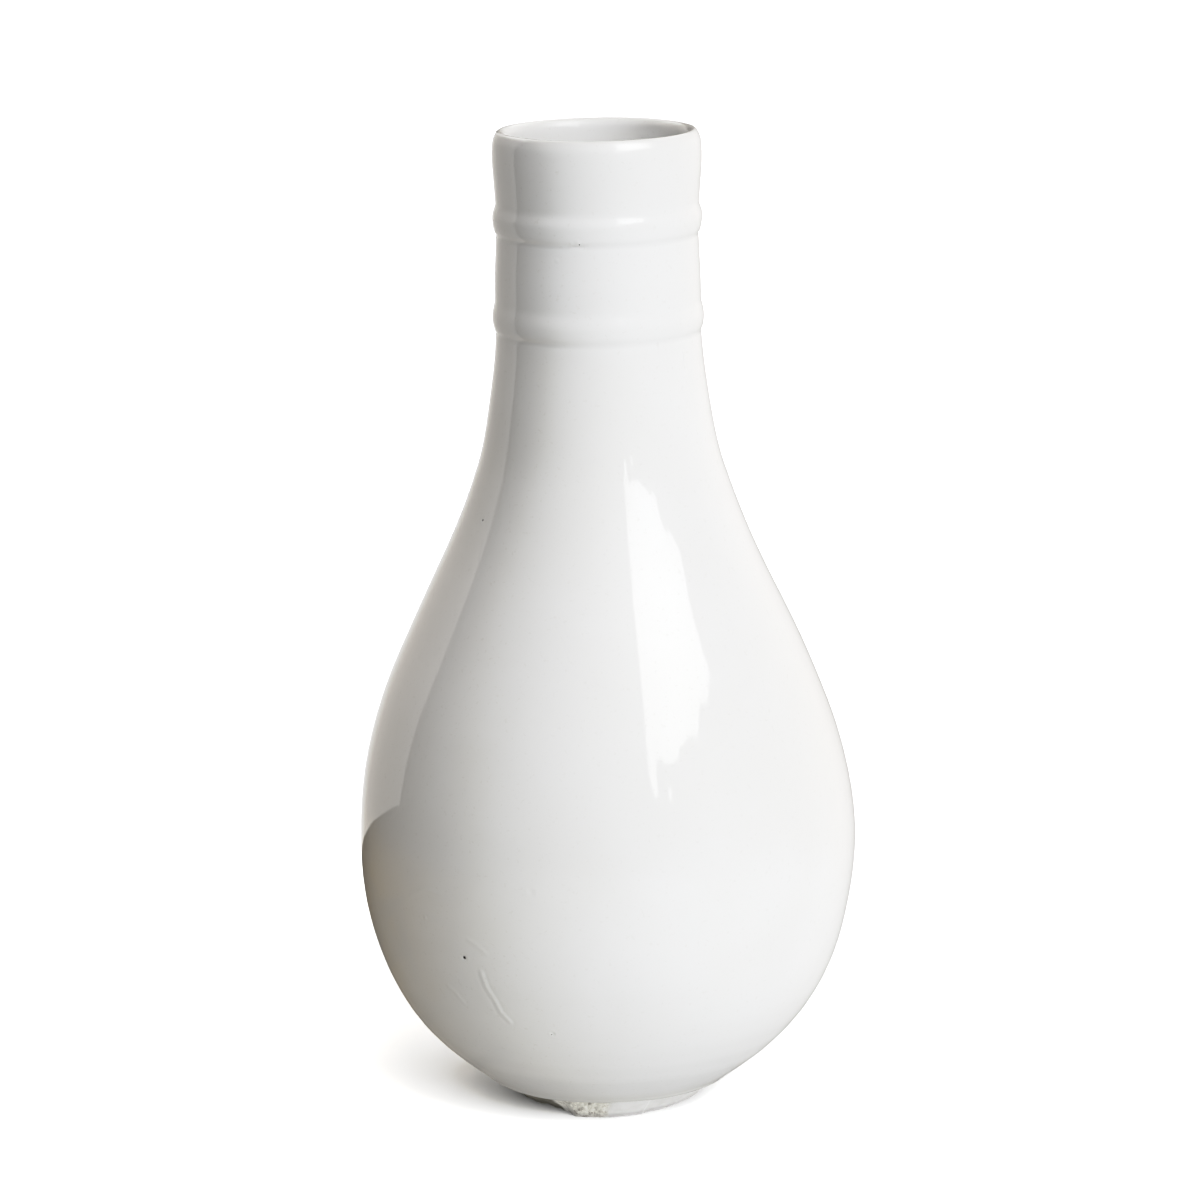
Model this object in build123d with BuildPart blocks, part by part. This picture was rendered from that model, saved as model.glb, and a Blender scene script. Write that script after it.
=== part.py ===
"""Ceramic bud vase: a thrown belly and neck, two coils round the neck, a turned foot ring, and a
glossy glaze outside and inside.

Millimetres, +Z up. The origin is the centre of the foot ring's resting face. Every piece is round
about Z, so each is a closed profile in the XZ plane, turned about the axis. A profile's points are
(radius, height). Pieces that touch are drawn with the same curves, so they meet face to face.
"""

from build123d import *
from math import hypot
import os

# Overall sizes
HEIGHT = 180.0
GLAZE = 0.45

# Glazed outside of the belly, from the glaze's lower edge up to the joint with the neck. A slope is
# a curve's direction at its end, as (radius, height).
GLAZE_EDGE_HEIGHT = 3.6
JOINT_HEIGHT = 118.2
BELLY_OUTLINE = [
    (22.2, GLAZE_EDGE_HEIGHT),
    (26.9, 7.2),
    (34.6, 14.4),
    (41.2, 25.2),
    (45.1, 39.0),
    (45.8, 52.0),
    (43.6, 66.5),
    (38.6, 81.0),
    (32.3, 95.0),
    (26.4, 108.0),
    (22.65, JOINT_HEIGHT),
]
FOOT_SLOPE = (1.35, 1.0)
JOINT_SLOPE = (-0.31, 1.0)
JOINT_SLOPE_DOWN = (0.31, -1.0)

# Glazed outside of the neck's flare, from the joint up to the lower band
FLARE_OUTLINE = [
    (22.65, JOINT_HEIGHT),
    (20.15, 129.6),
    (18.75, 142.7),
]
UP = (0.0, 1.0)
DOWN = (0.0, -1.0)

# Raised bands: the glazed radius and height at each one's lower and upper edge. A coil stands out
# by the rise at its middle and is pressed into the neck by the seat.
LOWER_BAND = [(18.75, 142.7), (18.65, 149.7)]
UPPER_BAND = [(18.4, 160.3), (18.45, 167.2)]
BAND_RISE = 0.4
BAND_SEAT = 0.6

# Lip and mouth. The glazed lip is a half round from the outside of the neck to the mouth.
LIP_OUTER_RADIUS = 18.9
MOUTH_RADIUS = 16.2
LIP_ROUND = (LIP_OUTER_RADIUS - MOUTH_RADIUS) / 2
LIP_CENTRE_RADIUS = (LIP_OUTER_RADIUS + MOUTH_RADIUS) / 2
LIP_CENTRE_HEIGHT = HEIGHT - LIP_ROUND

# Glazed throat: a true cylinder, which flares out to the mouth above and to the belly below
THROAT_RADIUS = 15.6
THROAT_BOTTOM = 138.0
THROAT_TOP = 172.0

# Clay wall: thickest low in the belly, where the pot is thrown heavy to carry its weight
WALL = 3.3
WALL_EXTRA_AT_BASE = 1.6
THICK_WALL_TOP = 45.0
FLOOR_HEIGHT = 7.6
FLOOR_RADIUS = 13.0

# Bare foot ring
FOOT_OUTER_RADIUS = 19.0
FOOT_INNER_RADIUS = 14.2
FOOT_EDGE_CHAMFER = 0.5


def wall_at(height):
    """The clay wall's thickness at that height: it eases in from the base."""
    share = max(0.0, 1.0 - height / THICK_WALL_TOP)
    return WALL + WALL_EXTRA_AT_BASE * share**2


def under(outline, slopes, depth_at):
    """Points of the curve that lies depth_at(height) under the outline. Its ends keep their height."""
    points = []
    last = len(outline) - 1
    for i, (radius, height) in enumerate(outline):
        depth = depth_at(height)
        if i in (0, last):
            across, up = slopes[0] if i == 0 else slopes[1]
            points.append((radius - depth * hypot(across, up) / up, height))
            continue
        across = outline[i + 1][0] - outline[i - 1][0]
        up = outline[i + 1][1] - outline[i - 1][1]
        length = hypot(across, up)
        points.append((radius - depth * up / length, height + depth * across / length))
    return points


def belly_curve(depth):
    """Outside of the belly, that deep under the glazed surface."""
    slopes = (FOOT_SLOPE, JOINT_SLOPE)
    return Spline(*under(BELLY_OUTLINE, slopes, lambda height: depth), tangents=slopes)


def flare_curve(depth):
    """Outside of the neck between the joint and the lower band."""
    slopes = (JOINT_SLOPE, UP)
    return Spline(*under(FLARE_OUTLINE, slopes, lambda height: depth), tangents=slopes)


def band_curve(band, depth, rise):
    """Arc across a band's span, that deep at both edges and standing out by the rise."""
    (low_radius, low_height), (high_radius, high_height) = band
    middle = ((low_radius + high_radius) / 2 - depth + rise, (low_height + high_height) / 2)
    start = (low_radius - depth, low_height)
    end = (high_radius - depth, high_height)
    return ThreePointArc(start, middle, end)


def waist_curve(depth):
    """Outside of the neck between the two bands."""
    low_radius, low_height = LOWER_BAND[1]
    high_radius, high_height = UPPER_BAND[0]
    return Line((low_radius - depth, low_height), (high_radius - depth, high_height))


def collar_curve(depth):
    """Outside of the neck from the upper band to the lip."""
    radius, height = UPPER_BAND[1]
    return Spline(
        (radius - depth, height),
        (LIP_OUTER_RADIUS - depth, LIP_CENTRE_HEIGHT),
        tangents=(UP, UP),
    )


def lip_curve(depth, side):
    """Quarter round of the lip from its crest: side 1 to the outside, side -1 to the mouth."""
    size = LIP_ROUND - depth
    return RadiusArc(
        (LIP_CENTRE_RADIUS, LIP_CENTRE_HEIGHT + size),
        (LIP_CENTRE_RADIUS + side * size, LIP_CENTRE_HEIGHT),
        side * size,
    )


def cavity_points(depth):
    """Points of the belly's inside, that deep under its own glazed surface, from the foot up."""
    slopes = (FOOT_SLOPE, JOINT_SLOPE)
    return under(BELLY_OUTLINE, slopes, lambda height: 2 * GLAZE + wall_at(height) - depth)


def throat_curve(depth):
    """Inside of the neck from the lip down to the joint, that deep under the glazed surface."""
    throat = THROAT_RADIUS + depth
    mouth = (MOUTH_RADIUS + depth, LIP_CENTRE_HEIGHT)
    Spline(mouth, (throat, THROAT_TOP), tangents=(DOWN, DOWN))
    Line((throat, THROAT_TOP), (throat, THROAT_BOTTOM))
    joint = cavity_points(depth)[-1]
    return Spline((throat, THROAT_BOTTOM), joint, tangents=(DOWN, JOINT_SLOPE_DOWN))


def cavity_curve(depth):
    """Inside of the belly, from the joint down the wall and across the floor to the axis."""
    floor_height = FLOOR_HEIGHT + GLAZE - depth
    floor_edge = (FLOOR_RADIUS, floor_height)
    wall = reversed(cavity_points(depth)[1:])
    Spline(*wall, floor_edge, tangents=(JOINT_SLOPE_DOWN, (-1.0, 0.0)))
    return Line(floor_edge, (0.0, floor_height))


os.makedirs("parts", exist_ok=True)

# Thrown belly with its floor, up to the flat joint where the neck is luted on
clay_joint = [
    under(BELLY_OUTLINE, (FOOT_SLOPE, JOINT_SLOPE), lambda height: GLAZE)[-1],
    cavity_points(GLAZE)[-1],
]

with BuildPart() as clay_belly:
    with BuildSketch(Plane.XZ):
        with BuildLine():
            outside = belly_curve(GLAZE)
            Line(*clay_joint)
            cavity_curve(GLAZE)
            Polyline((0.0, FLOOR_HEIGHT), (0.0, GLAZE_EDGE_HEIGHT), outside @ 0)
        make_face()
    revolve(axis=Axis.Z)
clay_belly.part.label = "clay_belly"
export_step(clay_belly.part, "parts/clay_belly.step")

# Neck, from the joint to the lip, with a shallow seat for each coil
with BuildPart() as clay_neck:
    with BuildSketch(Plane.XZ):
        with BuildLine():
            Line(*clay_joint)
            flare_curve(GLAZE)
            band_curve(LOWER_BAND, GLAZE, -BAND_SEAT)
            waist_curve(GLAZE)
            band_curve(UPPER_BAND, GLAZE, -BAND_SEAT)
            collar_curve(GLAZE)
            lip_curve(GLAZE, 1)
            lip_curve(GLAZE, -1)
            throat_curve(GLAZE)
        make_face()
    revolve(axis=Axis.Z)
clay_neck.part.label = "clay_neck"
export_step(clay_neck.part, "parts/clay_neck.step")

# Two coils of clay round the neck, under the glaze
with BuildPart() as neck_band_lower:
    with BuildSketch(Plane.XZ):
        with BuildLine():
            band_curve(LOWER_BAND, GLAZE, BAND_RISE)
            band_curve(LOWER_BAND, GLAZE, -BAND_SEAT)
        make_face()
    revolve(axis=Axis.Z)
neck_band_lower.part.label = "neck_band_lower"
export_step(neck_band_lower.part, "parts/neck_band_lower.step")

with BuildPart() as neck_band_upper:
    with BuildSketch(Plane.XZ):
        with BuildLine():
            band_curve(UPPER_BAND, GLAZE, BAND_RISE)
            band_curve(UPPER_BAND, GLAZE, -BAND_SEAT)
        make_face()
    revolve(axis=Axis.Z)
neck_band_upper.part.label = "neck_band_upper"
export_step(neck_band_upper.part, "parts/neck_band_upper.step")

# Bare foot ring, which widens up to the glaze's lower edge
with BuildPart() as foot_ring:
    with BuildSketch(Plane.XZ):
        with BuildLine():
            Polyline(
                (FOOT_INNER_RADIUS, GLAZE_EDGE_HEIGHT),
                (FOOT_INNER_RADIUS, 0.0),
                (FOOT_OUTER_RADIUS, 0.0),
                BELLY_OUTLINE[0],
                close=True,
            )
        make_face()
    revolve(axis=Axis.Z)
    bottom_face = foot_ring.faces().filter_by(Plane.XY).sort_by(Axis.Z)[0]
    chamfer(bottom_face.edges(), FOOT_EDGE_CHAMFER)
foot_ring.part.label = "foot_ring"
export_step(foot_ring.part, "parts/foot_ring.step")

# Glaze outside, from its lower edge above the foot to the crest of the lip
with BuildPart() as outer_glaze:
    with BuildSketch(Plane.XZ):
        with BuildLine():
            glazed_belly = belly_curve(0.0)
            flare_curve(0.0)
            band_curve(LOWER_BAND, 0.0, BAND_RISE)
            waist_curve(0.0)
            band_curve(UPPER_BAND, 0.0, BAND_RISE)
            collar_curve(0.0)
            glazed_lip = lip_curve(0.0, 1)
            clay_lip = lip_curve(GLAZE, 1)
            Line(glazed_lip @ 0, clay_lip @ 0)
            collar_curve(GLAZE)
            band_curve(UPPER_BAND, GLAZE, BAND_RISE)
            waist_curve(GLAZE)
            band_curve(LOWER_BAND, GLAZE, BAND_RISE)
            flare_curve(GLAZE)
            clay_side = belly_curve(GLAZE)
            Line(clay_side @ 0, glazed_belly @ 0)
        make_face()
    revolve(axis=Axis.Z)
outer_glaze.part.label = "outer_glaze"
export_step(outer_glaze.part, "parts/outer_glaze.step")

# Glaze inside, from the crest of the lip down the throat and over the floor
with BuildPart() as inner_glaze:
    with BuildSketch(Plane.XZ):
        with BuildLine():
            inner_lip = lip_curve(0.0, -1)
            throat_curve(0.0)
            glazed_floor = cavity_curve(0.0)
            clay_floor = cavity_curve(GLAZE)
            Line(glazed_floor @ 1, clay_floor @ 1)
            throat_curve(GLAZE)
            clay_inner_lip = lip_curve(GLAZE, -1)
            Line(inner_lip @ 0, clay_inner_lip @ 0)
        make_face()
    revolve(axis=Axis.Z)
inner_glaze.part.label = "inner_glaze"
export_step(inner_glaze.part, "parts/inner_glaze.step")
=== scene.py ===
"""Ceramic bud vase: the glazed coat, the clay under it and the bare foot, on a pale studio floor.

Metres, +Z up, in the CAD frame. The camera looks along +Y. Round the vase, an angle of 0 faces the
camera and a positive one is to the camera's right. The vase is thrown by hand, so one function,
thrown(), leans and ovals every piece alike, and relief() gives the glaze its own unevenness.
"""

import math

import bmesh
import bpy
import numpy as np
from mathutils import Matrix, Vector, noise


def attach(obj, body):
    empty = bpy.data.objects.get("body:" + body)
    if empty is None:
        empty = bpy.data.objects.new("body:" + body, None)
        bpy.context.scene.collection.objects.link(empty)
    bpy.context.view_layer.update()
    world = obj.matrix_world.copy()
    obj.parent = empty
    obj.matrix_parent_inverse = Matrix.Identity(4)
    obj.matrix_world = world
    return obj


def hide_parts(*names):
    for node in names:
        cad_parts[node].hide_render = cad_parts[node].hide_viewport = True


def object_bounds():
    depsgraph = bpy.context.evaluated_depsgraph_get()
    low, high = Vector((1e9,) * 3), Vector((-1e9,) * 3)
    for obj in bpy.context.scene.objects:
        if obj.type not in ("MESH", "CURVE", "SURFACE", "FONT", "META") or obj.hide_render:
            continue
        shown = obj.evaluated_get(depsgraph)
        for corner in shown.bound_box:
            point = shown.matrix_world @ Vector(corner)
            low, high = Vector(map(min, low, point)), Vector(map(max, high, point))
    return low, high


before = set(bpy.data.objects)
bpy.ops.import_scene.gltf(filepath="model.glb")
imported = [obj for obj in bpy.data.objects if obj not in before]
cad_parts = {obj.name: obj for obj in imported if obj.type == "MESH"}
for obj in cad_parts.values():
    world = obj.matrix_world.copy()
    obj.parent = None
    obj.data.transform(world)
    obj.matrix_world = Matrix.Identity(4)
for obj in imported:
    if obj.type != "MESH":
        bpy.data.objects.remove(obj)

MM = 0.001
CAD_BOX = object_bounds()
HEIGHT = CAD_BOX[1].z

# ---------------------------------------------------------------- shape of the pot

# Thickness of the glaze, radius of the throat, and where the two glazes meet in it
GLAZE = 0.45 * MM
THROAT = 15.6 * MM
COAT_END = HEIGHT - 0.013

# Glazed surface of the coat as (radius, height): up the outside, over the lip and down into the
# throat. The bands are added by band_rise().
GLAZE_EDGE = 3.7 * MM
COAT_LINE = [
    (0.02240, GLAZE_EDGE),
    (0.02700, 0.0072),
    (0.03128, 0.0108),
    (0.03608, 0.0161),
    (0.04132, 0.0252),
    (0.04458, 0.0360),
    (0.04588, 0.0490),
    (0.04500, 0.0600),
    (0.04210, 0.0720),
    (0.03790, 0.0830),
    (0.03305, 0.0936),
    (0.02797, 0.1044),
    (0.02402, 0.1142),
    (0.02165, 0.1219),
    (0.02032, 0.1290),
    (0.01929, 0.1362),
    (0.01872, 0.1425),
    (0.01869, 0.1520),
    (0.01836, 0.1600),
    (0.01846, 0.1680),
    (0.01886, 0.1735),
    (0.01886, HEIGHT - 0.0028),
    (0.01868, HEIGHT - 0.0016),
    (0.01833, HEIGHT - 0.0007),
    (0.01780, HEIGHT),
    (0.01712, HEIGHT - 0.0001),
    (0.01652, HEIGHT - 0.0008),
    (0.01625, HEIGHT - 0.0020),
    (0.01600, HEIGHT - 0.0048),
    (0.01568, HEIGHT - 0.0085),
    (THROAT, COAT_END),
]

# Inside glaze, from there down to the middle of the floor
INSIDE_LINE = [
    (THROAT, COAT_END),
    (THROAT, 0.1500),
    (THROAT, 0.1380),
    (0.01655, 0.1260),
    (0.01930, 0.1150),
    (0.02533, 0.1000),
    (0.03093, 0.0880),
    (0.03645, 0.0750),
    (0.04068, 0.0600),
    (0.04164, 0.0490),
    (0.04017, 0.0360),
    (0.03548, 0.0240),
    (0.02921, 0.0160),
    (0.02150, 0.0100),
    (0.01400, 0.0081),
    (0.00600, 0.0080),
    (0.00001, 0.0080),
]

# Both glazes have a row this close to where they meet, which keeps that edge from showing in the
# smooth shading.
SHARP = 0.03 * MM

# Raised bands: height of the crest, how far each runs out below and above it, and rise. The powers
# shape the two sides. A shallow groove runs under each: depth, distance below the band, and width.
BANDS = [
    (146.3 * MM, 2.6 * MM, 3.2 * MM, 0.52 * MM),
    (164.4 * MM, 3.0 * MM, 2.6 * MM, 0.66 * MM),
]
STEEP_BELOW, SOFT_ABOVE = 0.7, 2.0
GROOVE_DEPTH, GROOVE_UNDER, GROOVE_WIDTH = 0.09 * MM, 0.25 * MM, 0.5 * MM

# Axis of the pot as (height, shift along X): it leans to the camera's left
LEAN = [
    (0.0000, -0.00030),
    (0.0060, -0.00025),
    (0.0120, -0.00022),
    (0.0210, 0.00000),
    (0.0300, 0.00005),
    (0.0360, -0.00003),
    (0.0500, 0.00009),
    (0.0625, -0.00023),
    (0.0710, -0.00046),
    (0.0800, -0.00067),
    (0.0870, -0.00069),
    (0.0980, -0.00092),
    (0.1120, -0.00105),
    (0.1280, -0.00144),
    (0.1400, -0.00160),
    (0.1500, -0.00176),
    (0.1680, -0.00189),
    (HEIGHT, -0.00205),
]

# The mouth slopes down to the left by NECK_TILT, and the body is out of round by OVAL, widest at
# OVAL_TURN radians. Each sets in between two heights.
NECK_TILT = math.tan(math.radians(0.85))
TILT_FROM, TILT_TO = 0.105, 0.140
OVAL, OVAL_TURN = 0.0016, 0.6
OVAL_FROM, OVAL_TO = 0.01, 0.05

# Unevenness of the outside. Waves over the body and fine rings from throwing, each as (height,
# number of waves, range of times round, range of lengths up the pot). Turning marks above the foot
# as (height, pitch, middle, spread). A slight ledge where the neck is joined on, as (height, top,
# where it has faded out above, spread below).
SEED = 11
BODY_WAVES = (0.05 * MM, 7, (1, 5), (0.035, 0.09))
THROWING_RINGS = (0.010 * MM, 5, (0, 2), (0.0035, 0.009))
TURNING_MARKS = (0.022 * MM, 0.0034, 0.0135, 0.006)
NECK_JOINT = (0.05 * MM, 0.1172, 0.1184, 0.006)

# Glaze's own lumps, and those of its lower edge, each as (size, height). The edge's are read round a
# ring of this radius.
GLAZE_LUMPS = [(5 * MM, 0.008 * MM), (2.2 * MM, 0.004 * MM)]
EDGE_LUMPS = [(2.6 * MM, 0.12 * MM)]
EDGE_NOISE_RADIUS = 22 * MM

# The glaze's lower edge rolls in to the clay over this distance, with a slight bead. The edge wanders
# up from GLAZE_EDGE as (angle in degrees, height), and the glaze above it follows, less and less.
EDGE_ROLL = 0.7 * MM
EDGE_BEAD = 0.08 * MM
EDGE_FOLLOW = 7 * MM
EDGE_WANDER = [
    (-180, 0.25 * MM),
    (-110, 0.35 * MM),
    (-60, -0.3 * MM),
    (-40, -0.75 * MM),
    (-26, -0.35 * MM),
    (-12, 0.0),
    (0, 0.2 * MM),
    (14, 0.5 * MM),
    (24, 0.3 * MM),
    (38, 0.5 * MM),
    (90, 0.2 * MM),
    (180, 0.25 * MM),
]

# ---------------------------------------------------------------- marks in the glaze

# Marks as (angle in degrees, height). A ridge has a width and a rise, a pit a radius and a depth, a
# bump a pit of negative depth, and an iron speck a radius.
RIDGES = [
    (
        [(-31.0, 0.0335), (-30.2, 0.0305), (-28.6, 0.0282), (-27.6, 0.0258), (-25.6, 0.0240)],
        0.95 * MM,
        0.050 * MM,
    ),
    ([(-42.2, 0.0290), (-40.2, 0.0280), (-38.6, 0.0264)], 0.95 * MM, 0.036 * MM),
    ([(-33.5, 0.0396), (-31.2, 0.0388), (-29.0, 0.0375)], 0.95 * MM, 0.028 * MM),
    ([(-51.0, 0.0452), (-46.0, 0.0473), (-40.6, 0.0471)], 0.95 * MM, 0.028 * MM),
    ([(53.6, 0.1412), (54.0, 0.1398), (54.2, 0.1384)], 0.45 * MM, 0.06 * MM),
]
PITS = [
    (-17.3, 0.0501, 0.55 * MM, 0.05 * MM),
    (32.9, 0.0518, 0.35 * MM, 0.06 * MM),
    (-2.4, 0.0553, 0.35 * MM, 0.035 * MM),
    (17.1, 0.0587, 0.35 * MM, 0.035 * MM),
    (-14.3, 0.0224, 0.35 * MM, 0.07 * MM),
    (-46.2, 0.0419, 0.35 * MM, -0.06 * MM),
    (56.0, 0.0857, 0.45 * MM, 0.04 * MM),
    (-35.1, 0.0359, 0.45 * MM, 0.05 * MM),
    (-58.6, 0.1110, 0.35 * MM, 0.04 * MM),
    (-10.9, 0.1622, 0.40 * MM, -0.04 * MM),
    (-23.0, 0.1588, 0.35 * MM, -0.03 * MM),
]
SPECKS = [
    (-35.1, 0.0359, 0.36 * MM),
    (-58.6, 0.1110, 0.22 * MM),
    (-79.2, 0.1643, 0.20 * MM),
    (-9.9, 0.1618, 0.13 * MM),
    (-14.6, 0.0222, 0.10 * MM),
]

# Round each mark the glaze dips the other way: the dip's depth, distance and width as shares of the
# mark's own
DIP_DEPTH, DIP_AWAY, DIP_WIDTH = 0.22, 1.9, 0.7

# The mesh is finer near a mark, out to these shares of a ridge's width and a pit's radius, plus a
# margin for each round of splitting
RIDGE_REACH, PIT_REACH = 1.6, 2.2
FINE_MARGINS = (1.1 * MM, 0.5 * MM, 0.2 * MM)

# ---------------------------------------------------------------- bare foot

# Radius of its resting edge as (angle in degrees, radius)
FOOT_EDGE = [
    (-180, 18.7 * MM),
    (-90, 18.8 * MM),
    (-40, 19.0 * MM),
    (-25, 19.8 * MM),
    (-3, 19.4 * MM),
    (21, 18.6 * MM),
    (30, 18.3 * MM),
    (60, 17.9 * MM),
    (90, 18.5 * MM),
    (180, 18.7 * MM),
]
FOOT_INSIDE = 14.2 * MM
FOOT_TOP = 3.6 * MM
FOOT_ROUND = 0.45 * MM
FOOT_ROUND_UP = 0.6 * FOOT_ROUND

# One cut trims it back on the right. It starts sharply and fades out, at these angles in radians.
CUT_DEPTH = 0.55 * MM
CUT_START = math.radians(21)
CUT_SHARP = CUT_START + 0.03
CUT_FADE = (0.6, 2.0)

# How far its lower edge is broken away, as (angle in degrees, 0 to 1), how deep and high that is, and
# the share of the bevel that it takes. Its lumps, as (size, share of the depth), are read round a
# ring of this radius.
FOOT_CHIP = [(-180, 0), (-100, 0), (-62, 0.8), (-36, 1), (-24, 0.75), (-15, 0), (180, 0)]
CHIP_IN, CHIP_UP = 3.2 * MM, 1.9 * MM
CHIP_SHARE = 0.34
CHIP_LUMPS = [(2.0 * MM, 0.25)]
CHIP_NOISE_RADIUS = 19 * MM

# Its crumbly patch in front runs between these angles, where its lumps fade in and out. Lumps of the
# patch and of the whole foot, each as (size, height).
GRIT_START, GRIT_END = math.radians(-27), math.radians(1)
GRIT_FADE_IN = (GRIT_START - 0.06, GRIT_START + 0.05)
GRIT_FADE_OUT = (GRIT_END - 0.05, GRIT_END + 0.04)
GRIT_LUMPS = [(1.5 * MM, 0.22 * MM), (0.7 * MM, 0.16 * MM), (0.35 * MM, 0.06 * MM)]
FOOT_LUMPS = [(2.5 * MM, 0.03 * MM), (0.5 * MM, 0.012 * MM)]

# ---------------------------------------------------------------- mesh

# Columns round each piece, and rows along each line. Columns are closer together in front, by each
# piece's focus. The coat's rows are closer together over the bands, between these heights.
COAT_COLUMNS, COAT_ROWS, COAT_BACK_ROWS = 325, 190, 40
BANDS_FROM, BANDS_TO = 0.142, 0.169
INSIDE_COLUMNS, INSIDE_ROWS = 200, 110
FOOT_COLUMNS, CORNER_ROWS, REST_ROWS, BEVEL_ROWS = 900, 5, 9, 30
FRONT_FOCUS, FOOT_FOCUS, FOCUS_SPREAD = 1.6, 3.0, 1.5

# Points at which a line, and a turn round the pot, are worked out before rows and columns are picked
LINE_SAMPLES, TURN_SAMPLES = 4000, 4001

# ---------------------------------------------------------------- camera and light

# Where the photograph was taken from, its tilt and its lens
CAMERA_PLACE = (-1.4 * MM, -865.0 * MM, 286.8 * MM)
CAMERA_DIP = math.radians(12.61)
LENS_MM = 144.8
SENSOR_MM = 36.0

# Soft room lights, far away: angle, elevation, sharpness, radiance and colour
SOFT_LIGHTS = [
    (40, 45, 12, 1.48, (0.97, 1.0, 1.06)),  # round the window
    (0, 45, 4, 0.94, (0.98, 1.0, 1.04)),  # above the camera
    (0, 0, 4, 0.17, (1.0, 1.0, 0.95)),  # from the camera's side
    (0, 90, 4, 0.22, (1.3, 1.0, 0.55)),  # ceiling
    (135, 0, 4, 1.13, (1.04, 1.0, 0.96)),  # behind, on the right
    (49, -45, 2, 0.90, (1.0, 1.0, 1.0)),  # what the floor throws back up
]

# Pools of light on the floor, which stand for what it throws back near the vase: centre, reach,
# radiance and colour
POOLS = [
    ((0.22, -0.22), 0.50, 0.22, (0.9, 1.0, 1.12)),
    ((0.0, -0.25), 0.45, 0.44, (1.0, 1.0, 0.97)),
    ((-0.15, 0.02), 0.20, 0.17, (1.6, 1.0, 0.10)),
]
POOL_LIFT = POOL_HOLE = 1.0 * MM

# Window panes, each a radiance and its (angle, elevation) corners: the big one has a ragged lower
# edge, the one above it is dimmer, and two thin streaks of light run on below
WINDOW_DISTANCE = 2.0
WINDOW_PANES = [
    (2.50, [
        (21, 19), (25, 19), (26, 21.5), (28, 21.5), (30, 20), (37, 20.5), (39, 23), (46, 24),
        (50, 23), (56, 26.5), (60, 25.5), (67, 27), (66, 40), (65, 50), (45, 50), (24, 50), (24, 40),
    ]),
    (1.10, [(24, 50), (45, 50), (65, 50), (65, 65), (45, 66), (24, 65)]),
    (2.90, [(21.5, 19), (25, 19), (24.5, 14), (22.5, 13)]),
    (2.90, [(29, 15), (31, 15), (31, 12.5), (29.5, 12)]),
]

# Pale board behind the vase, on the left, by its corners. It lights the glaze, and the card is what
# the glaze mirrors of it, close by and cut on a slant below.
BOARD = [(-1.0, 0.29, -0.06), (-0.05, 0.15, 0.0), (-0.05, 0.15, 0.45), (-1.0, 0.29, 0.45)]
BOARD_RADIANCE = 0.58
BOARD_COLOUR = (1.14, 1.0, 0.82)
CARD = [(-0.144, 0.019, 0.049), (-0.05, 0.15, 0.0), (-0.05, 0.15, 0.30), (-0.144, 0.019, 0.30)]
CARD_RADIANCE = 0.88
WHITE = (1.0, 1.0, 1.0)

# Panel overhead, behind the vase, that faces down
PANEL_PLACE = (0.0, 1.8, 1.6)
PANEL_WIDTH, PANEL_DEPTH = 3.0, 2.0
PANEL_RADIANCE = 1.07

# Floor's rings, by radius, its columns and a pool's, and the lights that only the floor takes, so
# that it is white up to the vase's soft shadow: angle, elevation, width in degrees and strength
FLOOR_RINGS = (0.0001, 0.3, 1.0, 3.0, 8.0)
FLOOR_COLUMNS, POOL_COLUMNS = 96, 48
FLOOR_LIGHTS = [(20, 30, 35, 9.0), (45, 30, 35, 6.8), (120, 30, 35, 3.2), (0, 90, 150, 9.3)]

# Tone curve between black and white, in linear light
TONES = [(0.25, 0.205), (0.42, 0.391), (0.60, 0.669), (0.76, 0.817), (0.92, 0.932)]

# ---------------------------------------------------------------- curves and surfaces


def natural_spline(knots, values, at):
    """Natural cubic spline through values at the knots, read at those places."""
    knots = np.asarray(knots, float)
    values = np.asarray(values, float)
    gap = np.diff(knots)
    slope = np.diff(values) / gap
    count = len(knots)
    matrix = np.eye(count)
    right = np.zeros(count)
    for i in range(1, count - 1):
        matrix[i, i - 1] = gap[i - 1]
        matrix[i, i] = 2 * (gap[i - 1] + gap[i])
        matrix[i, i + 1] = gap[i]
        right[i] = 6 * (slope[i] - slope[i - 1])
    bend = np.linalg.solve(matrix, right)
    i = np.clip(np.searchsorted(knots, at, side="right") - 1, 0, count - 2)
    t = at - knots[i]
    first = slope[i] - gap[i] * (2 * bend[i] + bend[i + 1]) / 6
    return values[i] + t * (first + t * (bend[i] / 2 + t * (bend[i + 1] - bend[i]) / (6 * gap[i])))


def ease(low, high, value):
    """0 below low, 1 above high, smooth between."""
    t = np.clip((value - low) / (high - low), 0.0, 1.0)
    return t * t * (3 - 2 * t)


def hump(centre, width, value):
    """A smooth hump of height 1 at the centre, with that half width."""
    return np.exp(-(((value - centre) / width) ** 2))


def round_curve(points, turn):
    """Eased curve through (angle in degrees, value) points that run from -180 to 180."""
    angles, values = np.radians([a for a, _ in points]), np.array([v for _, v in points])
    i = np.clip(np.searchsorted(angles, turn, side="right") - 1, 0, len(angles) - 2)
    share = ease(angles[i], angles[i + 1], turn)
    return values[i] + (values[i + 1] - values[i]) * share


def spread(count, at, weight, closed=False):
    """Picks count places from the ones in at, closer together where their weight is large."""
    share = np.cumsum(weight)
    share = (share - share[0]) / (share[-1] - share[0])
    return np.interp(np.linspace(0.0, 1.0, count, endpoint=not closed), share, at)


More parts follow.
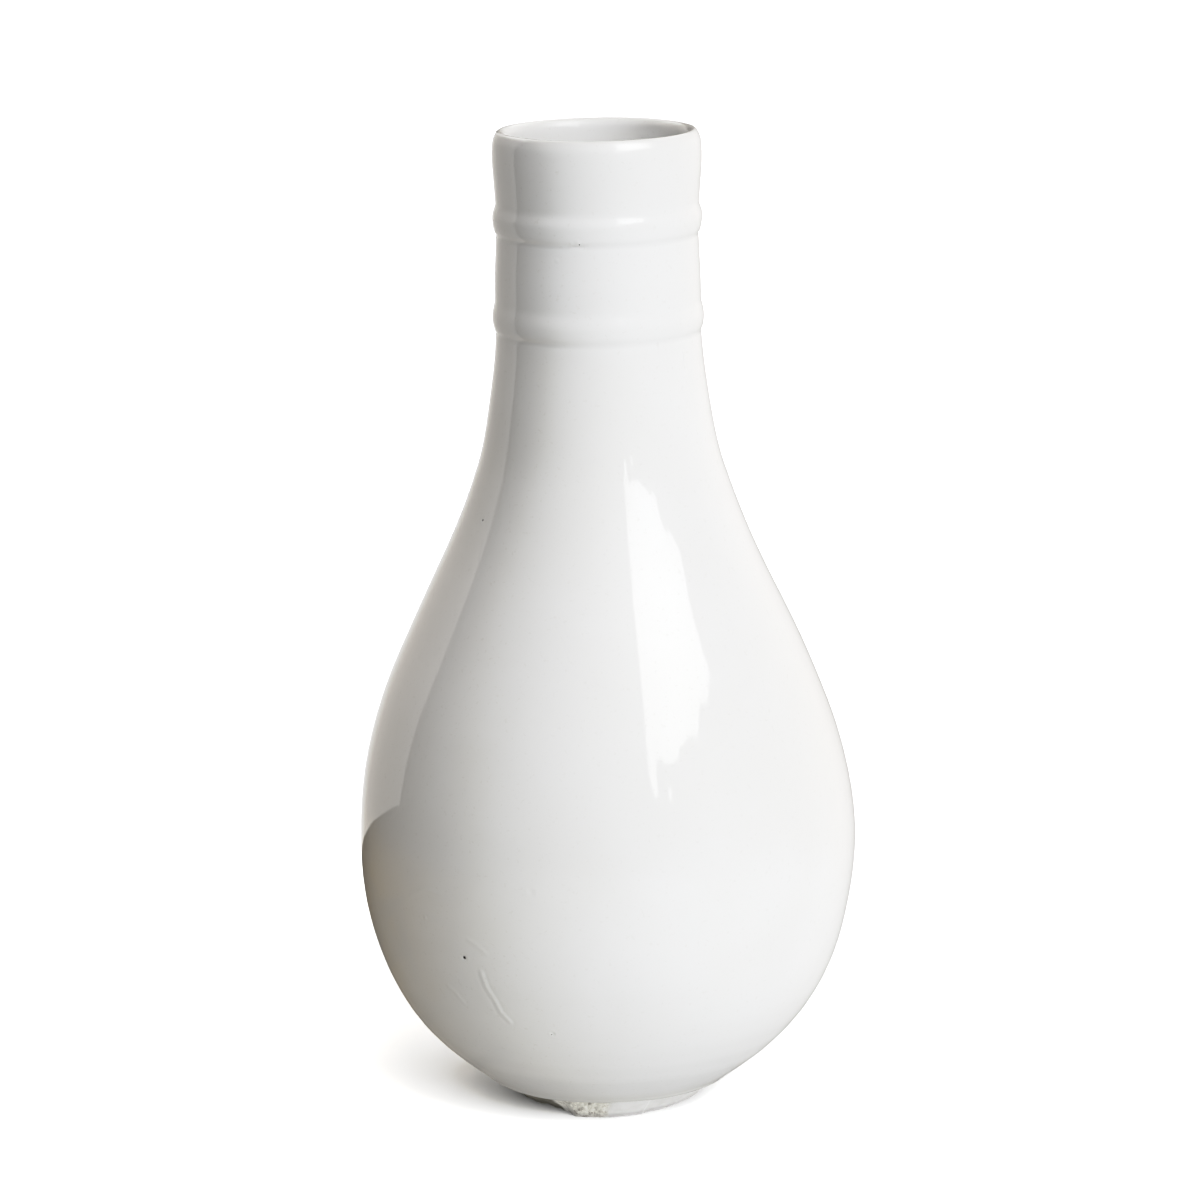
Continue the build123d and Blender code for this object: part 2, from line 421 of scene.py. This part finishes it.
class Profile:
    """A smooth line through (radius, height) points, read by the distance along it."""

    def __init__(self, points):
        points = np.asarray(points, float)
        knots = np.concatenate([[0.0], np.cumsum(np.hypot(*np.diff(points, axis=0).T))])
        at = np.linspace(0.0, knots[-1], LINE_SAMPLES)
        self.line = np.column_stack([natural_spline(knots, points[:, i], at) for i in (0, 1)])
        self.distance = np.concatenate([[0.0], np.cumsum(np.hypot(*np.diff(self.line, axis=0).T))])
        step = np.gradient(self.line, axis=0)
        step /= np.hypot(*step.T)[:, None]
        self.normal = np.column_stack([step[:, 1], -step[:, 0]])
        self.crest = self.distance[np.argmax(self.line[:, 1])]

    def at(self, distance, proud=0.0):
        """Radius and height at a distance along the line, moved out by proud."""
        radius, height, across, up = (
            np.interp(distance, self.distance, column)
            for column in (*self.line.T, *self.normal.T)
        )
        return radius + across * proud, height + up * proud

    def find(self, height):
        """Distance along the line at which its outside reaches a height."""
        outside = self.distance <= self.crest
        return np.interp(height, self.line[outside, 1], self.distance[outside])

    def rows(self, count, weight):
        """Picks count distances, closer together where weight(height) is large."""
        return spread(count, self.distance, weight(self.line[:, 1]))


def column_angles(count, focus):
    """Angles round the pot, closer together on the side that faces the camera."""
    turn = np.linspace(-math.pi, math.pi, TURN_SAMPLES)
    return spread(count, turn, 1.0 + focus * hump(0.0, FOCUS_SPREAD, turn), closed=True)


def waves(turn, height, count, rounds, lengths, rng):
    """Smooth unevenness round the pot, between about -1 and 1, from a few seeded waves."""
    total = 0.0
    for _ in range(count):
        times = rng.integers(*rounds)
        length = rng.uniform(*lengths)
        phase = rng.uniform(0, 2 * math.pi, 2)
        up = np.sin(2 * math.pi * height / length + phase[1])
        total = total + np.cos(times * turn + phase[0]) * up
    return total / math.sqrt(count)


def lumps(points, layers):
    """Unevenness at each point: noise in layers of (size, height)."""
    total = 0.0
    for size, height in layers:
        total += height * np.array([noise.noise(Vector(point) / size) for point in points])
    return total


def grid_faces(rows, columns, closed):
    """Quads of a grid that runs round the pot. closed joins its last row to its first."""
    row = np.arange(rows if closed else rows - 1)[:, None] * columns
    above = (row + columns) % (rows * columns)
    column = np.arange(columns)[None, :]
    right = (column + 1) % columns
    corners = (row + column, row + right, above + right, above + column)
    return np.stack(corners, axis=-1).reshape(-1, 4)


def turned_points(radius, height, angles):
    """Points of a surface given as radius and height on each row and angle."""
    x = radius * np.sin(angles)
    y = -radius * np.cos(angles)
    return np.stack([x, y, height + 0 * x], axis=-1).reshape(-1, 3)


def new_piece(name, points, faces):
    """A smooth-shaded mesh object."""
    mesh = bpy.data.meshes.new(name)
    mesh.from_pydata(np.asarray(points).tolist(), [], [tuple(face) for face in faces])
    mesh.shade_smooth()
    piece = bpy.data.objects.new(name, mesh)
    bpy.context.scene.collection.objects.link(piece)
    return piece


# ---------------------------------------------------------------- the thrown pot


def thrown(points):
    """Bends points of a true pot to the hand-thrown one: slightly oval, leaning, with a tilted neck."""
    x, y, z = points.T
    turn = np.arctan2(x, -y)
    oval = 1 + OVAL * np.cos(2 * (turn - OVAL_TURN)) * ease(OVAL_FROM, OVAL_TO, z)
    tilt = NECK_TILT * x * ease(TILT_FROM, TILT_TO, z)
    lean = natural_spline(*np.array(LEAN).T, np.clip(z, 0.0, HEIGHT))
    return np.column_stack([x * oval + lean, y * oval, z + tilt])


def band_rise(height):
    """How far the raised bands stand out of the neck: eased in from above, and a sharp step below."""
    rise = np.zeros_like(height)
    for crest, below, above, most in BANDS:
        under = height < crest
        t = np.clip((height - crest) / np.where(under, below, above), -1.0, 1.0)
        rise += most * (1 - t * t) ** np.where(under, STEEP_BELOW, SOFT_ABOVE)
        rise -= GROOVE_DEPTH * hump(crest - below - GROOVE_UNDER, GROOVE_WIDTH, height)
    return rise


def relief(turn, height):
    """How far the glazed outside stands proud of the true outline."""
    rng = np.random.default_rng(SEED)
    total = 0.0
    for depth, count, rounds, lengths in (BODY_WAVES, THROWING_RINGS):
        total = total + depth * waves(turn, height, count, rounds, lengths, rng)
    depth, pitch, middle, width = TURNING_MARKS
    total += depth * np.sin(2 * math.pi * height / pitch) * hump(middle, width, height)
    depth, top, end, width = NECK_JOINT
    return total + depth * (1 - ease(top, end, height)) * hump(top, width, height)


def flat_place(profile, angle, height):
    """A mark's angle and distance along the profile, and the radius there."""
    distance = profile.find(height)
    return math.radians(angle), distance, profile.at(distance)[0]


def mark_places(profile):
    """Every mark as its flat_place() points, and how far it acts."""
    places = []
    for points, width, _ in RIDGES:
        places.append(([flat_place(profile, *point) for point in points], RIDGE_REACH * width))
    for angle, height, radius, _ in PITS:
        places.append(([flat_place(profile, angle, height)], PIT_REACH * radius))
    return places


def gap_to(turn, distance, points):
    """Distance on the surface from each place to a line of points, or to one point."""
    radius = points[0][2]
    x, y = turn * radius, distance
    flat = np.array([(angle * radius, along) for angle, along, _ in points])
    if len(flat) == 1:
        return np.hypot(x - flat[0, 0], y - flat[0, 1])
    nearest = np.full(np.shape(x), np.inf)
    for start, end in zip(flat[:-1], flat[1:]):
        run = end - start
        aside, along = x - start[0], y - start[1]
        share = np.clip((aside * run[0] + along * run[1]) / (run @ run), 0, 1)
        nearest = np.minimum(nearest, np.hypot(aside - share * run[0], along - share * run[1]))
    return nearest


def marks(turn, distance, places):
    """How far the marks stand proud of the glaze."""
    total = np.zeros_like(turn)
    rises = [rise for _, _, rise in RIDGES] + [-depth for *_, depth in PITS]
    widths = [0.5 * width for _, width, _ in RIDGES] + [radius for _, _, radius, _ in PITS]
    for (points, _), rise, width in zip(places, rises, widths):
        gap = gap_to(turn, distance, points)
        dip = DIP_DEPTH * hump(DIP_AWAY * width, DIP_WIDTH * width, gap)
        total += rise * (hump(0.0, width, gap) - dip)
    return total


def refine(points, faces, places):
    """Splits the grid's faces near the marks, so that each mark has its own fine mesh.

    A grid point is (angle, distance, side), with side 0 on the skin and 1 at its back. The faces
    that close the grid at the back of the pot span the whole turn, so they are left whole.
    """
    mesh = bpy.data.meshes.new("grid")
    mesh.from_pydata(points.tolist(), [], faces.tolist())
    work = bmesh.new()
    work.from_mesh(mesh)
    for margin in FINE_MARGINS:
        quads = [face for face in work.faces if len(face.verts) == 4]
        centres = np.array([face.calc_center_median() for face in quads])
        widths = np.array([np.ptp([vert.co.x for vert in face.verts]) for face in quads])
        plain = (centres[:, 2] < 0.5) & (widths < 1.0)
        near = np.zeros(len(quads), bool)
        for line, reach in places:
            near |= (gap_to(centres[:, 0], centres[:, 1], line) < reach + margin) & plain
        edges = {edge for face, chosen in zip(quads, near) if chosen for edge in face.edges}
        edges = sorted(edges, key=lambda edge: edge.index)
        bmesh.ops.subdivide_edges(work, edges=edges, cuts=1, use_grid_fill=True)
        work.edges.index_update()
    work.to_mesh(mesh)
    work.free()
    refined = np.empty(len(mesh.vertices) * 3)
    mesh.vertices.foreach_get("co", refined)
    polygons = [tuple(polygon.vertices) for polygon in mesh.polygons]
    bpy.data.meshes.remove(mesh)
    return refined.reshape(-1, 3), polygons


# ---------------------------------------------------------------- pieces


def coat_rows(height):
    """How close the coat's rows are, by height."""
    edge = 5.0 * hump(GLAZE_EDGE, 1.6 * MM, height)
    low_marks = 0.5 * hump(0.03, 0.02, height)
    bands = 2.0 * ((height > BANDS_FROM) & (height < BANDS_TO))
    lip = 3.0 * (height > HEIGHT - 3.2 * MM)
    return 1.0 + edge + low_marks + bands + lip


def back_rows(height):
    """How close the rows are at the coat's back: closest on the lip."""
    return 1.0 + 3.0 * (height > HEIGHT - 4 * MM)


def make_coat():
    """Outside glaze: from its rolled lower edge, over the lip and a little way down the throat."""
    profile = Profile(COAT_LINE)
    front = profile.rows(COAT_ROWS, coat_rows)
    front = np.insert(front, -1, front[-1] - SHARP)
    back = profile.rows(COAT_BACK_ROWS, back_rows)[::-1]
    angles = column_angles(COAT_COLUMNS, FRONT_FOCUS)
    rows = [(distance, 0.0) for distance in front] + [(distance, 1.0) for distance in back]
    grid = np.array([(angle, distance, side) for distance, side in rows for angle in angles])
    places = mark_places(profile)
    grid, faces = refine(grid, grid_faces(len(rows), len(angles), closed=True), places)

    turn, distance, side = grid.T
    skin = side < 0.5
    wander = round_curve(EDGE_WANDER, turn)
    wander += lumps(turned_points(EDGE_NOISE_RADIUS, 0.0, turn), EDGE_LUMPS)
    placed = distance + wander * (1 - ease(0.0, EDGE_FOLLOW, distance))
    height = profile.at(placed)[1]
    roll = np.sqrt(1 - (1 - np.clip(distance / EDGE_ROLL, 0.0, 1.0)) ** 2)
    bead = EDGE_BEAD * hump(1.5 * EDGE_ROLL, EDGE_ROLL, distance)
    outside = band_rise(height) + relief(turn, height) + marks(turn, placed, places)
    proud = (GLAZE + bead) * roll - GLAZE + outside * (placed <= profile.crest)
    radius, height = profile.at(placed, np.where(skin, proud, -GLAZE))
    radius[skin] += lumps(turned_points(radius, height, turn)[skin], GLAZE_LUMPS)
    return new_piece("glaze_coat", thrown(turned_points(radius, height, turn)), faces)


def make_inside_glaze():
    """Inside glaze: from where the coat ends in the throat down to the middle of the floor."""
    profile = Profile(INSIDE_LINE)
    rows = np.insert(profile.rows(INSIDE_ROWS, np.ones_like), 1, SHARP)
    skin = np.column_stack(profile.at(rows))
    back = np.column_stack(profile.at(rows[::-1], -GLAZE))
    radius, height = np.concatenate([skin, back]).T[:, :, None]
    angles = column_angles(INSIDE_COLUMNS, FRONT_FOCUS)
    points = turned_points(radius, height, angles[None, :])
    faces = grid_faces(len(radius), INSIDE_COLUMNS, closed=True)
    return new_piece("glaze_inside", thrown(points), faces)


def make_clay(node):
    """The clay of a CAD node, bent like the rest of the pot."""
    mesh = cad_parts[node].data.copy()
    points = np.empty(len(mesh.vertices) * 3)
    mesh.vertices.foreach_get("co", points)
    mesh.vertices.foreach_set("co", thrown(points.reshape(-1, 3)).ravel())
    piece = bpy.data.objects.new(node + "_body", mesh)
    bpy.context.scene.collection.objects.link(piece)
    return piece


def make_foot():
    """Bare foot ring: a turned bevel up to the glaze, trimmed by hand, crumbly in front."""
    angles = column_angles(FOOT_COLUMNS, FOOT_FOCUS)
    cut = CUT_DEPTH * ease(CUT_START, CUT_SHARP, angles) * (1 - ease(*CUT_FADE, angles))
    edge = round_curve(FOOT_EDGE, angles) - cut
    chip = round_curve(FOOT_CHIP, angles)
    chip *= 1 + lumps(turned_points(CHIP_NOISE_RADIUS, 0.0, angles), CHIP_LUMPS)
    chipped = edge - CHIP_IN * chip
    top, top_height = Profile(COAT_LINE).at(round_curve(EDGE_WANDER, angles), -GLAZE)
    top = top - 0.5 * cut

    rows = []

    def add(radius, height):
        rows.append((radius + 0 * angles, height + 0 * angles))

    add(FOOT_INSIDE, FOOT_TOP)
    corner = np.linspace(0.0, math.pi / 2, CORNER_ROWS)
    for t in corner:
        add(FOOT_INSIDE + FOOT_ROUND * (1 - math.cos(t)), FOOT_ROUND * (1 - math.sin(t)))
    for t in np.linspace(0.0, 1.0, REST_ROWS)[1:]:
        add(FOOT_INSIDE + FOOT_ROUND + (chipped - FOOT_INSIDE - 2 * FOOT_ROUND) * t, 0.0)
    for t in corner[1:-1]:
        add(chipped - FOOT_ROUND * (1 - math.sin(t)), FOOT_ROUND_UP * (1 - math.cos(t)))
    bevel_start = len(rows)
    for t in np.linspace(0.0, 1.0, BEVEL_ROWS):
        bite = 1 - ease(0.0, CHIP_SHARE, t)
        radius = edge + (top - edge) * t
        height = FOOT_ROUND_UP + (top_height - FOOT_ROUND_UP) * t
        add(radius - CHIP_IN * chip * bite, height + CHIP_UP * chip * (1 - bite) * (1 - t))
    bevel_end = len(rows)

    # Two more rows tuck it under the glaze
    add(top - 0.3 * MM, top_height + 0.2 * MM)
    add(top - 0.9 * MM, FOOT_TOP)

    # Its lumps fade out at both ends of the bevel
    radius, height = np.array(rows).transpose(1, 0, 2)
    points = turned_points(radius, height, angles[None, :])
    row = np.arange(len(rows))
    share = np.clip((row - bevel_start) / (bevel_end - bevel_start), 0.0, 1.0)
    shown = ease(0.0, 0.12, share) * (1 - ease(0.88, 1.0, share)) * (row < bevel_end)
    crumbly = ease(*GRIT_FADE_IN, angles) * (1 - ease(*GRIT_FADE_OUT, angles))
    grit = lumps(points, GRIT_LUMPS).reshape(radius.shape) * crumbly[None, :]
    out = (grit + lumps(points, FOOT_LUMPS).reshape(radius.shape)) * shown[:, None]
    points = turned_points(radius + out, height, angles[None, :])
    return new_piece("foot_body", thrown(points), grid_faces(len(rows), FOOT_COLUMNS, closed=True))


# ---------------------------------------------------------------- materials


class Nodes:
    """A node tree, with short ways to add the nodes this file uses. A value is a socket or plain."""

    def __init__(self, tree, coordinates="Object"):
        self.tree = tree
        self.place = self.add("ShaderNodeTexCoord").outputs[coordinates]

    def add(self, kind):
        """A new node."""
        return self.tree.nodes.new(kind)

    def feed(self, socket, value):
        """Links a socket to the one that feeds it, or sets it to a plain value."""
        if isinstance(value, bpy.types.NodeSocket):
            self.tree.links.new(value, socket)
        else:
            socket.default_value = value

    def noise(self, scale, detail, roughness=0.5):
        """Noise texture's value at that scale, in waves per metre."""
        node = self.add("ShaderNodeTexNoise")
        self.feed(node.inputs["Vector"], self.place)
        self.feed(node.inputs["Scale"], scale)
        self.feed(node.inputs["Detail"], detail)
        self.feed(node.inputs["Roughness"], roughness)
        return node.outputs["Fac"]

    def mix(self, factor, first, second):
        """Mixes two colours."""
        node = self.add("ShaderNodeMix")
        node.data_type = "RGBA"
        self.feed(node.inputs["Factor"], factor)
        sockets = [socket for socket in node.inputs if socket.type == "RGBA"]
        for socket, colour in zip(sockets, (first, second)):
            self.feed(socket, (*colour, 1.0) if isinstance(colour, tuple) else colour)
        return next(socket for socket in node.outputs if socket.type == "RGBA")

    def ramp(self, value, low, high, to_low=0.0, to_high=1.0):
        """Maps a value smoothly from one range to another, clamped."""
        node = self.add("ShaderNodeMapRange")
        node.interpolation_type = "SMOOTHSTEP"
        self.feed(node.inputs["Value"], value)
        self.feed(node.inputs["From Min"], low)
        self.feed(node.inputs["From Max"], high)
        self.feed(node.inputs["To Min"], to_low)
        self.feed(node.inputs["To Max"], to_high)
        return node.outputs["Result"]

    def maths(self, operation, first, second):
        """Combines two values."""
        node = self.add("ShaderNodeMath")
        node.operation = operation
        self.feed(node.inputs[0], first)
        self.feed(node.inputs[1], second)
        return node.outputs["Value"]

    def vector(self, operation, *values):
        """A vector node fed with those values."""
        node = self.add("ShaderNodeVectorMath")
        node.operation = operation
        for socket, value in zip(node.inputs, values):
            self.feed(socket, value)
        return node

    def axis(self, name):
        """One coordinate of the place."""
        node = self.add("ShaderNodeSeparateXYZ")
        self.feed(node.inputs["Vector"], self.place)
        return node.outputs[name]

    def bump(self, height, depth, strength):
        """Normal of a surface that a height bumps, that deep."""
        node = self.add("ShaderNodeBump")
        self.feed(node.inputs["Height"], height)
        self.feed(node.inputs["Distance"], depth)
        self.feed(node.inputs["Strength"], strength)
        return node.outputs["Normal"]


def node_material(name):
    """A new material with its nodes and its Principled shader's inputs."""
    material = bpy.data.materials.new(name)
    material.use_nodes = True
    nodes = Nodes(material.node_tree)
    return material, nodes, material.node_tree.nodes["Principled BSDF"].inputs


def speck_mask(nodes):
    """1 inside each iron speck of the outside glaze, 0 outside."""
    profile = Profile(COAT_LINE)
    total = 0.0
    for angle, height, radius in SPECKS:
        turn, distance, _ = flat_place(profile, angle, height)
        ring = profile.at(distance, band_rise(np.array(height)))
        centre = thrown(turned_points(*ring, np.array([turn])))[0]
        gap = nodes.vector("DISTANCE", nodes.place, tuple(centre)).outputs["Value"]
        inside = nodes.ramp(gap, 0.55 * radius, 1.1 * radius, to_low=1.0, to_high=0.0)
        total = nodes.maths("MAXIMUM", total, inside)
    return total


def glaze_material(name, specks):
    """Glossy white glaze with faint warm and cool clouds and a slight orange-peel surface."""
    material, nodes, surface = node_material(name)
    clouds = nodes.ramp(nodes.noise(scale=22.0, detail=4.0), low=0.35, high=0.65)
    tone = nodes.mix(clouds, (0.800, 0.797, 0.785), (0.825, 0.825, 0.822))
    flecks = nodes.ramp(nodes.noise(scale=1400.0, detail=2.0), low=0.62, high=0.74)
    tone = nodes.mix(nodes.maths("MULTIPLY", flecks, 0.25), tone, (0.70, 0.69, 0.66))
    # Greyer and slightly darker over the lowest few millimetres, towards the glaze's lower edge
    darker_low_edge = nodes.ramp(nodes.axis("Z"), low=0.0042, high=0.0075, to_low=0.5, to_high=0.0)
    tone = nodes.mix(darker_low_edge, tone, (0.74, 0.735, 0.70))
    if specks:
        tone = nodes.mix(speck_mask(nodes), tone, (0.018, 0.014, 0.012))
    nodes.feed(surface["Base Color"], tone)
    peel = nodes.noise(scale=520.0, detail=1.5)
    nodes.feed(surface["Normal"], nodes.bump(peel, depth=0.02 * MM, strength=0.35))
    surface["Roughness"].default_value = 0.045
    surface["IOR"].default_value = 1.5
    return material


def clay_material():
    """Bare fired clay: matte, with a fine grit."""
    material, nodes, surface = node_material("clay_body")
    grit = nodes.noise(scale=900.0, detail=5.0, roughness=0.7)
    patches = nodes.ramp(grit, low=0.35, high=0.7)
    tone = nodes.mix(patches, (0.78, 0.77, 0.74), (0.68, 0.67, 0.64))
    nodes.feed(surface["Base Color"], tone)
    nodes.feed(surface["Normal"], nodes.bump(grit, depth=0.1 * MM, strength=0.5))
    surface["Roughness"].default_value = 0.75
    return material


def foot_material():
    """Bare foot: smooth pale clay, a yellowish crumbly patch in front, and to its left brown staining
    deepened with painted shade.
    """
    material, nodes, surface = node_material("bare_foot")
    mottle = nodes.noise(scale=260.0, detail=4.0, roughness=0.6)
    grain = nodes.noise(scale=800.0, detail=6.0, roughness=0.75)
    mottled = nodes.ramp(mottle, low=0.35, high=0.65)
    smooth = nodes.mix(mottled, (0.80, 0.795, 0.78), (0.87, 0.87, 0.86))
    grainy = nodes.ramp(grain, low=0.34, high=0.50)
    crumbs = nodes.mix(grainy, (0.42, 0.39, 0.34), (0.84, 0.83, 0.78))

    # The angle round the foot, ragged by the mottle, says where the patch and the painted shade are
    towards_camera = nodes.maths("MULTIPLY", nodes.axis("Y"), -1.0)
    turn = nodes.maths("ARCTAN2", nodes.axis("X"), towards_camera)
    turn = nodes.maths("ADD", turn, nodes.maths("MULTIPLY", mottle, 0.16))
    start = nodes.ramp(turn, GRIT_START + 0.03, GRIT_START + 0.11)
    stop = nodes.ramp(turn, GRIT_END + 0.02, GRIT_END + 0.10, to_low=1.0, to_high=0.0)
    tone = nodes.mix(nodes.maths("MULTIPLY", start, stop), smooth, crumbs)
    # Left of the patch the foot is painted dark: brown staining, darkened almost to black as painted
    # shade of its shaded, chipped side
    painted_shade_end = nodes.ramp(turn, GRIT_START + 0.02, GRIT_START + 0.10, to_low=1.0, to_high=0.0)
    stain_and_painted_shade = nodes.maths("MULTIPLY", painted_shade_end, nodes.ramp(turn, low=-1.6, high=-1.0))
    tone = nodes.mix(nodes.maths("MULTIPLY", stain_and_painted_shade, 0.95), tone, (0.13, 0.12, 0.085))

    nodes.feed(surface["Base Color"], tone)
    nodes.feed(surface["Normal"], nodes.bump(grain, depth=0.06 * MM, strength=0.4))
    surface["Roughness"].default_value = 0.72
    return material


def floor_material():
    """Plain pale studio floor."""
    material, nodes, surface = node_material("studio_floor")
    tone = nodes.mix(nodes.noise(scale=3.0, detail=2.0), (0.297, 0.297, 0.297), (0.303, 0.303, 0.303))
    nodes.feed(surface["Base Color"], tone)
    surface["Roughness"].default_value = 0.9
    surface["Specular IOR Level"].default_value = 0.0
    return material


def glow_material(name, colour):
    """A material that glows and lets other light through, with its nodes and the glow's strength."""
    material = bpy.data.materials.new(name)
    material.use_nodes = True
    material.node_tree.nodes.clear()
    nodes = Nodes(material.node_tree)
    glow = nodes.add("ShaderNodeEmission")
    nodes.feed(glow.inputs["Color"], (*colour, 1.0))
    both = nodes.add("ShaderNodeAddShader")
    nodes.feed(both.inputs[0], glow.outputs["Emission"])
    nodes.feed(both.inputs[1], nodes.add("ShaderNodeBsdfTransparent").outputs["BSDF"])
    nodes.feed(nodes.add("ShaderNodeOutputMaterial").inputs["Surface"], both.outputs["Shader"])
    return material, nodes, glow.inputs["Strength"]


# ---------------------------------------------------------------- stage, camera and light


def towards(turn, rise):
    """Unit vector at an angle round the vase and an elevation, in degrees."""
    across, up = math.radians(turn), math.radians(rise)
    level = math.cos(up)
    return Vector((math.sin(across) * level, -math.cos(across) * level, math.sin(up)))


def make_camera():
    """Camera at the photograph's place, with its tilt and lens."""
    data = bpy.data.cameras.new("camera")
    data.lens = LENS_MM
    data.sensor_width = SENSOR_MM
    camera = bpy.data.objects.new("camera", data)
    camera.location = CAMERA_PLACE
    camera.rotation_euler = (math.pi / 2 - CAMERA_DIP, 0.0, 0.0)
    bpy.context.scene.collection.objects.link(camera)
    bpy.context.scene.camera = camera


def flat_disc(name, rings, columns, material):
    """A flat disc of those rings, by radius, as part of the stage."""
    turn = np.linspace(0, 2 * math.pi, columns, endpoint=False)
    points = turned_points(np.array(rings)[:, None], 0.0, turn[None, :])
    disc = new_piece(name, points, grid_faces(len(rings), columns, closed=False))
    disc.data.materials.append(material)
    return disc


def make_floor():
    """A wide round floor under the foot, and its lamps. It neither lights the vase nor shows in it:
    the soft light from below and the pools stand for what it throws back.
    """
    floor = flat_disc("studio_floor", FLOOR_RINGS, FLOOR_COLUMNS, floor_material())
    floor.visible_diffuse = False
    floor.visible_glossy = False
    floor.visible_shadow = False
    takers = bpy.data.collections.new("floor_only")
    takers.objects.link(floor)
    for number, (turn, rise, width, strength) in enumerate(FLOOR_LIGHTS):
        light = bpy.data.lights.new(f"floor_light_{number}", "SUN")
        light.energy = strength
        light.angle = math.radians(width)
        lamp = bpy.data.objects.new(light.name, light)
        lamp.rotation_euler = towards(turn, rise).to_track_quat("Z", "Y").to_euler()
        lamp.light_linking.receiver_collection = takers
        bpy.context.scene.collection.objects.link(lamp)


def glowing_pane(name, corners, radiance, colour=WHITE):
    """A flat pane of even radiance, unseen by the camera."""
    material, _, strength = glow_material(name, colour)
    strength.default_value = radiance
    pane = new_piece(name, corners, [range(len(corners))])
    pane.data.materials.append(material)
    pane.visible_camera = False
    return pane


def floor_pool(name, centre, reach, radiance, colour):
    """A round pool of light just over the floor, fading smoothly to its edge, unseen by the camera."""
    material, nodes, strength = glow_material(name, colour)
    gap = nodes.vector("LENGTH", nodes.place).outputs["Value"]
    nodes.feed(strength, nodes.ramp(gap, 0.0, reach, to_low=radiance, to_high=0.0))
    pool = flat_disc(name, (POOL_HOLE, 0.5 * reach, reach), POOL_COLUMNS, material)
    pool.location = (*centre, POOL_LIFT)
    pool.visible_camera = False


def make_panel():
    """The panel overhead."""
    light = bpy.data.lights.new("top_behind", "AREA")
    light.shape = "RECTANGLE"
    light.size, light.size_y = PANEL_WIDTH, PANEL_DEPTH
    light.energy = PANEL_RADIANCE * math.pi * PANEL_WIDTH * PANEL_DEPTH
    lamp = bpy.data.objects.new(light.name, light)
    lamp.location = PANEL_PLACE
    lamp.visible_camera = False
    bpy.context.scene.collection.objects.link(lamp)


def make_world():
    """Room light: the sum of the soft lights, each fading smoothly away from its direction."""
    world = bpy.data.worlds.new("room")
    world.use_nodes = True
    nodes = Nodes(world.node_tree, coordinates="Generated")
    total = (0.0, 0.0, 0.0)
    for turn, rise, sharpness, radiance, colour in SOFT_LIGHTS:
        facing = nodes.vector("DOT_PRODUCT", nodes.place, towards(turn, rise)).outputs["Value"]
        lobe = nodes.maths("POWER", nodes.maths("MAXIMUM", facing, 0.0), float(sharpness))
        total = nodes.vector("MULTIPLY_ADD", radiance * Vector(colour), lobe, total).outputs["Vector"]
    nodes.feed(world.node_tree.nodes["Background"].inputs["Color"], total)
    bpy.context.scene.world = world


def make_light():
    """Window, room light, the board behind, the pools on the floor and the panel overhead."""
    middle = Vector((0.0, 0.0, HEIGHT / 2))
    for number, (radiance, corners) in enumerate(WINDOW_PANES):
        places = [middle + WINDOW_DISTANCE * towards(*corner) for corner in corners]
        glowing_pane(f"window_{number}", places, radiance)
    glowing_pane("board", BOARD, BOARD_RADIANCE, BOARD_COLOUR).visible_glossy = False
    glowing_pane("card", CARD, CARD_RADIANCE).visible_diffuse = False
    for number, pool in enumerate(POOLS):
        floor_pool(f"pool_{number}", *pool)
    make_world()
    make_panel()


def make_tones():
    """The photograph's contrast: steep between its shadows and its lights, gentle in the lights."""
    view = bpy.context.scene.view_settings
    view.view_transform = "Standard"
    view.use_curve_mapping = True
    curve = view.curve_mapping.curves[3]
    for dark, light in TONES:
        curve.points.new(dark, light)
    view.curve_mapping.update()


# ---------------------------------------------------------------- the vase


def place_piece(piece, node, material):
    """Gives a piece its material, puts it on the root body and hides the CAD part that it stands for.
    """
    piece.data.materials.clear()
    piece.data.materials.append(material)
    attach(piece, "root")
    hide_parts(node)


make_camera()
make_floor()
make_light()
make_tones()

place_piece(make_coat(), "outer_glaze", glaze_material("white_glaze", specks=True))
inside_material = glaze_material("inside_glaze", specks=False)
place_piece(make_inside_glaze(), "inner_glaze", inside_material)
place_piece(make_foot(), "foot_ring", foot_material())
clay = clay_material()
for node in ("clay_belly", "clay_neck", "neck_band_lower", "neck_band_upper"):
    place_piece(make_clay(node), node, clay)
